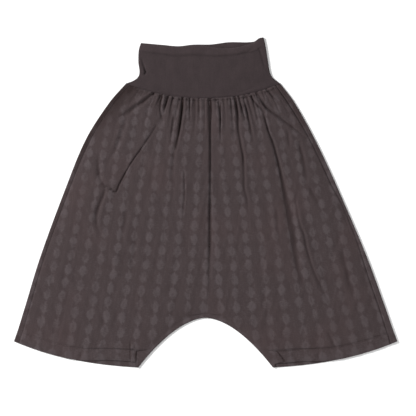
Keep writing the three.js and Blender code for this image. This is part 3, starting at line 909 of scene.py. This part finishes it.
def back_panel(leg, material):
    """The back of a leg, which turns on to the front at the side and along the crotch."""
    levels = levels_of(*BACK_ROWS)
    gathers = np.linspace(0, GATHERS, BACK_COLUMNS)
    inset = np.full(len(levels), WOVEN_BEND)
    flat = back_flat(leg, cross_sections(leg, levels, gathers, inset, inset))
    sides = side_turn(leg, levels, flat)
    low = levels >= CROTCH_LEVEL
    crotch = crotch_turn(leg, levels[low], pick(flat, low))

    shell = Shell(flipped=leg == LEFT)
    for spots in (flat, sides, crotch):
        shell.grid(spots)
        shell.ends(spots)
    above = levels <= CROTCH_LEVEL
    shell.edge(pick(pick(flat, above), np.s_[:, 0]))
    shell.edge(pick(crotch, np.s_[:, 0]))
    shell.edge(pick(sides, np.s_[::-1, -1]))
    name = side_name(leg)
    return shell.piece(f"back_cloth_{name}", f"back_panel_{name}", material)


def band_width(down, side):
    """Distance of the waistband's side fold from the centre line."""
    right = look_up_smooth(BAND_SIDES, "down", "right", down)
    left = look_up_smooth(BAND_SIDES, "down", "left", down)
    return np.where(side < 0, right, left)


def band_place(down, side):
    """Plan position on the waistband, by its share of the way down and its side from -1 to 1."""
    x = side * (band_width(down, side) - KNIT_BEND)
    foot_x = side * (band_width(np.ones_like(down), side) - KNIT_BEND)
    foot = np.where(side < 0, level_y(RIGHT, foot_x, 0.0), level_y(LEFT, foot_x, 0.0)) + SEAM_GAP
    top = look_up_smooth(BAND_TOP, "side", "y", side)
    return x, top + (foot - top) * down


# Creases of the waistband's front: points by side and share down, half width, depth
BAND_FOLDS = [
    ([-0.985, -0.945, -0.92, -0.95], [0.3, 0.52, 0.67, 0.8], 2, 2.4),
    ([-0.95, -0.92, -0.95], [0.58, 0.67, 0.76], 1.8, 1.4),
    ([0.9, 0.93, 0.95], [0.12, 0.4, 0.7], 2, 1.2),
    ([0.5, 0.7, 0.86], [0.24, 0.2, 0.12], 3, 0.9),
    ([0.3, 0.6, 0.8], [1.0, 0.93, 0.9], 3, 0.6),
]


def band_front_height(x, y, down, side):
    edge = 1 - np.abs(side) ** 10
    loft = look_up_smooth(BAND_LOFTS, "down", "loft", down) * edge
    soft = undulation(x, y, **BAND_WAVES) * smoothstep(down, 0, 0.1) * edge
    height = BAND_BASE + loft + soft
    for sides, downs, width, depth in BAND_FOLDS:
        line = np.stack(band_place(np.array(downs, float), np.array(sides, float)), axis=-1)
        along, away = nearest_on(line, x, y)
        fade = smoothstep(along, 0, 0.3) * smoothstep(1 - along, 0, 0.3)
        height = height - depth * fade * bell(away, width) * (1 - np.abs(side) ** 30)
    return height


def band_turn(down, sign):
    """Outer and inner points of the waistband round one side fold."""
    start_x, _ = band_place(down[:, 0], np.full(len(down), float(sign)))
    start = np.stack([start_x, start_x * 0], axis=-1)
    outward = np.broadcast_to([float(sign), 0.0], start.shape)

    def follow_y(x):
        return band_place(np.broadcast_to(down, x.shape), x / np.abs(start_x)[:, None])[1]

    faces = turned_edge(start, outward, KNIT_BEND, KNIT, np.zeros(len(down)), 0, follow_y)
    return [face[:, :BEND_STEPS] for face in faces]


def band_front(x, y, down, side):
    """Outer and inner points of the waistband's front, with the painted shade of its creases."""
    sag = BAND_DIP["depth"] * bell(x - BAND_DIP["x"], BAND_DIP["reach"])
    y = y - sag * np.maximum(0, 1 - down / BAND_DIP["down"]) ** 2 * (1 - np.abs(side) ** 8)
    top = band_front_height(x, y, down, side)
    rounding = BAND_EDGE["drop"] * np.exp(-down / BAND_EDGE["reach"])
    shade = np.maximum(crease_of(top, 8, 1.6), crease_of(top.T, 8, 1.1).T)
    return (stacked(x, y, top - rounding), stacked(x, y, top - KNIT)), shade


def waistband(material):
    """One flattened tube, whose back lies on the surface."""
    down = np.linspace(0, 1, BAND_ROWS)[:, None]
    down_grid, side = np.broadcast_arrays(down, np.linspace(-1, 1, BAND_COLUMNS)[None, :])
    x, y = band_place(down_grid, side)
    fronts, shade = band_front(x, y, down_grid, side)
    backs = stacked(x, y, 0 * x), stacked(x, y, 0 * x + KNIT)
    rights, lefts = band_turn(down, RIGHT), band_turn(down, LEFT)
    ring = [
        np.concatenate([front[:, 1:-1], left[:, ::-1], back[:, ::-1], right, front[:, 1:2]], axis=1)
        for front, left, back, right in zip(fronts, lefts, backs, rights)
    ]
    runs = np.diff(ring[0][BAND_ROWS // 2, :, :2], axis=0)
    around = np.concatenate([[0], np.cumsum(np.hypot(*runs.T))])
    shade = np.pad(shade[:, 1:-1], ((0, 0), (0, len(around) - BAND_COLUMNS + 2)))
    spots = (*ring, stacked(around[None, :], down * BAND_HEIGHT, shade))
    shell = Shell()
    shell.grid(spots)
    shell.ends(spots)
    return shell.piece("waistband_cloth", "waistband", material)


# Stitches of the hems
STITCH = {"length": 2.6, "gap": 1.1, "radius": 0.28, "sides": 6}


def thread_points(a, b):
    """Both ends of one thread, and a ring of points round its middle."""
    wide = np.cross((b - a) / np.linalg.norm(b - a), [0, 0, 1.0])
    turns = np.linspace(0, 2 * math.pi, STITCH["sides"] + 1)[:-1]
    ring = [wide * math.cos(turn) + np.array([0, 0, math.sin(turn)]) for turn in turns]
    return [a, b] + [(a + b) / 2 + STITCH["radius"] * away for away in ring]


def stitches(name, line, material):
    """A row of short threads along a line of points."""
    runs = np.linalg.norm(np.diff(line, axis=0), axis=1)
    along = np.concatenate([[0], np.cumsum(runs)])

    def place(distance):
        return np.stack([np.interp(distance, along, column) for column in line.T], axis=-1)

    points, faces = [], []
    last_start = along[-1] - STITCH["length"]
    for start in np.arange(0, last_start, STITCH["length"] + STITCH["gap"]):
        first = len(points)
        points += thread_points(place(start), place(start + STITCH["length"]))
        for i in range(STITCH["sides"]):
            one = first + 2 + i
            two = first + 2 + (i + 1) % STITCH["sides"]
            faces += [(first, one, two), (first + 1, two, one)]
    mesh = bpy.data.meshes.new(name)
    mesh.from_pydata([tuple(p * MM) for p in points], [], faces)
    mesh.shade_smooth()
    return dress(mesh, name, None, material)


class Nodes:
    """Short calls for the nodes of one material."""

    def __init__(self, name):
        self.material = bpy.data.materials.new(name)
        self.material.use_nodes = True
        self.tree = self.material.node_tree
        self.tree.nodes.clear()
        self.shader = self.new("ShaderNodeBsdfPrincipled")
        output = self.new("ShaderNodeOutputMaterial")
        self.tree.links.new(self.shader.outputs["BSDF"], output.inputs["Surface"])

    def new(self, kind):
        return self.tree.nodes.new(kind)

    def put(self, socket, value):
        if isinstance(value, bpy.types.NodeSocket):
            self.tree.links.new(value, socket)
        else:
            socket.default_value = value

    def cloth(self):
        """The place on the cloth as one vector, then across it, then along it."""
        uv = self.new("ShaderNodeUVMap")
        uv.uv_map = "cloth"
        split = self.new("ShaderNodeSeparateXYZ")
        self.put(split.inputs[0], uv.outputs[0])
        return uv.outputs[0], split.outputs[0], split.outputs[1]

    def shade(self):
        """The mesh's painted shade: 1 in a deep fold, and below 0 painted light."""
        node = self.new("ShaderNodeAttribute")
        node.attribute_name = "painted_shade"
        return node.outputs["Fac"]

    def matt_cloth(self, colour, roughness, normal):
        """Sets the shader to dull soft cloth of this colour."""
        self.put(self.shader.inputs["Base Color"], colour)
        self.put(self.shader.inputs["Normal"], normal)
        self.shader.inputs["Roughness"].default_value = roughness
        self.shader.inputs["Specular IOR Level"].default_value = 0.15
        self.shader.inputs["Sheen Weight"].default_value = 0.04
        self.shader.inputs["Sheen Roughness"].default_value = 0.5

    def math(self, operation, *values, clamp=False):
        node = self.new("ShaderNodeMath")
        node.operation = operation
        node.use_clamp = clamp
        for socket, value in zip(node.inputs, values):
            self.put(socket, value)
        return node.outputs[0]

    def plus(self, a, b, clamp=False):
        return self.math("ADD", a, b, clamp=clamp)

    def minus(self, a, b):
        return self.math("SUBTRACT", a, b)

    def times(self, a, b):
        return self.math("MULTIPLY", a, b)

    def noise(self, vector, scale, detail=2.0):
        node = self.new("ShaderNodeTexNoise")
        self.put(node.inputs["Vector"], vector)
        node.inputs["Scale"].default_value = scale
        node.inputs["Detail"].default_value = detail
        return node.outputs["Fac"]

    def mix(self, factor, a, b):
        node = self.new("ShaderNodeMix")
        node.data_type = "RGBA"
        self.put(node.inputs[0], factor)
        self.put(node.inputs[6], a)
        self.put(node.inputs[7], b)
        return node.outputs[2]

    def bump(self, height, distance, normal=None):
        node = self.new("ShaderNodeBump")
        node.inputs["Distance"].default_value = distance
        self.put(node.inputs["Height"], height)
        if normal is not None:
            self.put(node.inputs["Normal"], normal)
        return node.outputs["Normal"]

    def scaled(self, vector, across, along):
        node = self.new("ShaderNodeMapping")
        node.inputs["Scale"].default_value = (across, along, 1)
        self.put(node.inputs["Vector"], vector)
        return node.outputs[0]

    def swing(self, noise, weight):
        """A noise moved to lie round 0, times its weight."""
        return self.times(self.minus(noise, 0.5), weight)

    def centred(self, value):
        """Distance from the nearest whole number."""
        part = self.math("FRACT", self.plus(value, 0.5))
        return self.math("ABSOLUTE", self.minus(part, 0.5))

    def ramp(self, value, low, high):
        """0 below low and 1 above high."""
        node = self.new("ShaderNodeMapRange")
        node.interpolation_type = "SMOOTHSTEP"
        self.put(node.inputs["Value"], value)
        node.inputs["From Min"].default_value = low
        node.inputs["From Max"].default_value = high
        return node.outputs["Result"]


# Colours of the woven cloth, the last one the colour of its painted shade
WOVEN_DARK = (0.0465, 0.0335, 0.0345, 1)
WOVEN_PALE = (0.0705, 0.0555, 0.0582, 1)
WOVEN_RED = (0.0585, 0.0375, 0.038, 1)
WOVEN_PAINTED_SHADE = (0.0142, 0.007, 0.0064, 1)

# Half sizes of an oval, and threads, each by one repeat of the weave
OVAL_HALF_WIDTH = 0.29
OVAL_HALF_HEIGHT = 0.5
THREADS_ACROSS = 62
THREADS_ALONG = 56


def oval_chains(n, cloth, u, v, place):
    """Chains of pale pointed ovals on thin stems, some with a darker heart and some faint."""
    wobble = n.swing(n.noise(place, 28), 0.24)
    ragged = n.swing(n.noise(place, 210), 0.22)
    shifted = n.plus(wobble, ragged)
    across = n.centred(n.plus(u, shifted))
    along = n.centred(n.plus(v, shifted))
    tall = n.math("POWER", n.math("DIVIDE", along, OVAL_HALF_HEIGHT), 2.0)
    wide = n.math("DIVIDE", across, OVAL_HALF_WIDTH)
    depth = n.minus(n.minus(1.0, tall), wide)
    oval = n.ramp(depth, -0.2, 0.6)
    some = n.ramp(n.noise(cloth, 1.3, 1), 0.48, 0.62)
    heart = n.times(n.ramp(depth, 0.45, 0.95), some)
    stem = n.times(n.ramp(across, 0.12, 0.02), 0.25)
    chain = n.math("MAXIMUM", n.minus(oval, n.times(heart, 0.4)), stem)
    clear = n.times(n.ramp(n.noise(cloth, 0.9, 2), 0.36, 0.6), 0.45)
    clear = n.plus(clear, 0.58)
    below_gathers = n.times(n.ramp(v, -10.4, -8.8), 0.4)
    below_gathers = n.plus(below_gathers, 0.6)
    return n.times(chain, n.times(clear, below_gathers))


def woven_tone(n, cloth, threads, place):
    """Unevenness of the woven ground, from broad patches to single threads."""
    tone = 0.02
    for noise, weight in (
        (n.noise(n.scaled(cloth, 5, 14), 1.0, 2), 1.1),
        (n.noise(n.scaled(cloth, 9, 1.2), 1.0, 3), 0.9),
        (n.noise(place, 340, 2), 1.1),
        (n.noise(place, 60, 3), 0.65),
        (n.noise(place, 5, 2), 0.35),
    ):
        tone = n.plus(tone, n.swing(noise, weight))
    return n.plus(tone, n.times(threads, 0.04))


def woven_material():
    """Chains of pale ovals on an uneven woven ground, with painted shade where the mesh's painted shade
    is above 0 and painted light where it is below 0.
    """
    n = Nodes("woven")
    cloth, u, v = n.cloth()
    shade = n.shade()
    place = n.new("ShaderNodeTexCoord").outputs["Object"]
    weft = n.math("SINE", n.times(u, THREADS_ACROSS * 2 * math.pi))
    warp = n.math("SINE", n.times(v, THREADS_ALONG * 2 * math.pi))
    threads = n.plus(weft, warp)
    pattern = oval_chains(n, cloth, u, v, place)
    tone = woven_tone(n, cloth, threads, place)
    # Painted light: the ground is paler where the mesh's painted shade is below 0
    tone = n.minus(tone, n.math("MINIMUM", shade, 0.0))

    pale = n.plus(n.times(pattern, 1.05), tone, clamp=True)
    colour = n.mix(pale, WOVEN_DARK, WOVEN_PALE)
    reddish = n.times(n.ramp(n.noise(place, 9, 1), 0.45, 0.75), 0.35)
    colour = n.mix(reddish, colour, WOVEN_RED)
    # Painted shade: the colour goes towards a dark brown with the mesh's painted shade
    colour = n.mix(shade, colour, WOVEN_PAINTED_SHADE)
    raised = n.bump(n.plus(pattern, n.times(tone, 0.4)), 0.0003)
    n.matt_cloth(colour, 0.86, n.bump(threads, 0.00006, raised))
    return n.material


# Colours of the knit, the third one the colour of its painted shade, and the sizes of its paler top
# strip, its wales and its courses
KNIT_DARK = (0.0283, 0.0204, 0.0216, 1)
KNIT_PALE = (0.0414, 0.0298, 0.0315, 1)
KNIT_PAINTED_SHADE = (0.013, 0.009, 0.0095, 1)
TOP_STRIP = 21
WALE = 1.25
COURSE = 0.9

# Colours of the sewing thread and the floor
THREAD_DARK = (0.03, 0.022, 0.023, 1)
THREAD_PALE = (0.055, 0.042, 0.044, 1)
FLOOR_WHITE = (0.94, 0.94, 0.94, 1)


def knit_material():
    """Smooth knit with fine wales and courses, uneven in tone and paler along its top, with painted
    shade in its folds.
    """
    n = Nodes("knit")
    cloth, around, down = n.cloth()
    place = n.new("ShaderNodeTexCoord").outputs["Object"]
    wales = n.math("SINE", n.times(around, 2 * math.pi / WALE))
    courses = n.math("SINE", n.times(down, 2 * math.pi / COURSE))
    tone = n.times(n.ramp(down, TOP_STRIP + 3, TOP_STRIP - 4), 0.32)
    for noise, weight in (
        (n.noise(n.scaled(cloth, 0.35, 0.03), 1.0, 3), 0.6),
        (n.noise(place, 45, 3), 1.0),
        (n.noise(place, 300, 2), 0.9),
    ):
        tone = n.plus(tone, n.swing(noise, weight))
    tone = n.plus(tone, n.times(wales, 0.04))
    pale = n.plus(tone, 0.42, clamp=True)
    # Painted shade: the colour goes towards a dark brown with the mesh's painted shade
    colour = n.mix(n.shade(), n.mix(pale, KNIT_DARK, KNIT_PALE), KNIT_PAINTED_SHADE)
    height = n.plus(wales, n.times(courses, 0.4))
    n.matt_cloth(colour, 0.9, n.bump(height, 0.0001))
    return n.material


def thread_material():
    n = Nodes("thread")
    place = n.new("ShaderNodeTexCoord").outputs["Object"]
    colour = n.mix(n.noise(place, 900, 2), THREAD_DARK, THREAD_PALE)
    n.put(n.shader.inputs["Base Color"], colour)
    n.shader.inputs["Roughness"].default_value = 0.7
    return n.material


def floor_material():
    n = Nodes("floor")
    n.shader.inputs["Base Color"].default_value = FLOOR_WHITE
    n.shader.inputs["Roughness"].default_value = 1.0
    n.shader.inputs["Specular IOR Level"].default_value = 0.0
    return n.material


def dress_garment():
    woven, knit, thread = woven_material(), knit_material(), thread_material()
    band = waistband(knit)
    for leg, front_area, back_area in ((LEFT, 0.168, 0.184), (RIGHT, 0.182, 0.198)):
        front, line = front_panel(leg, woven)
        back = back_panel(leg, woven)
        sewn = stitches(f"hem_stitches_{side_name(leg)}", line, thread)


def floor():
    bpy.ops.mesh.primitive_plane_add(size=12, location=(0, 0, -0.0004))
    made = bpy.context.object
    made.name = "floor"
    made.data.materials.append(floor_material())


def lamp(name, place, size, power):
    """A square light that shines on the middle of the floor."""
    light = bpy.data.lights.new(name, "AREA")
    light.shape = "SQUARE"
    light.size = size
    light.energy = power
    made = bpy.data.objects.new(name, light)
    bpy.context.scene.collection.objects.link(made)
    made.location = place
    made.rotation_euler = (-Vector(place)).to_track_quat("-Z", "Y").to_euler()


def studio():
    world = bpy.data.worlds.new("studio")
    bpy.context.scene.world = world
    world.use_nodes = True
    background = world.node_tree.nodes["Background"]
    background.inputs["Color"].default_value = (1, 1, 1, 1)
    background.inputs["Strength"].default_value = 0.55
    lamp("key", place=(-2.8, 1.3, 2.2), size=1.0, power=200)
    lamp("fill", place=(2.0, -1.8, 1.6), size=1.2, power=20)
    bpy.context.scene.view_settings.view_transform = "Standard"


# The photograph's frame is square and shows this width of the surface from straight above.
VIEW_WIDTH = 0.8736
VIEW_CENTRE = (0.005, -0.0115)
CAMERA_HEIGHT = 3.0


def camera():
    lens = bpy.data.cameras.new("camera")
    lens.sensor_width = 36
    lens.lens = lens.sensor_width * CAMERA_HEIGHT / VIEW_WIDTH
    made = bpy.data.objects.new("camera", lens)
    bpy.context.scene.collection.objects.link(made)
    made.location = (*VIEW_CENTRE, CAMERA_HEIGHT)
    bpy.context.scene.camera = made


camera()
studio()
floor()
dress_garment()
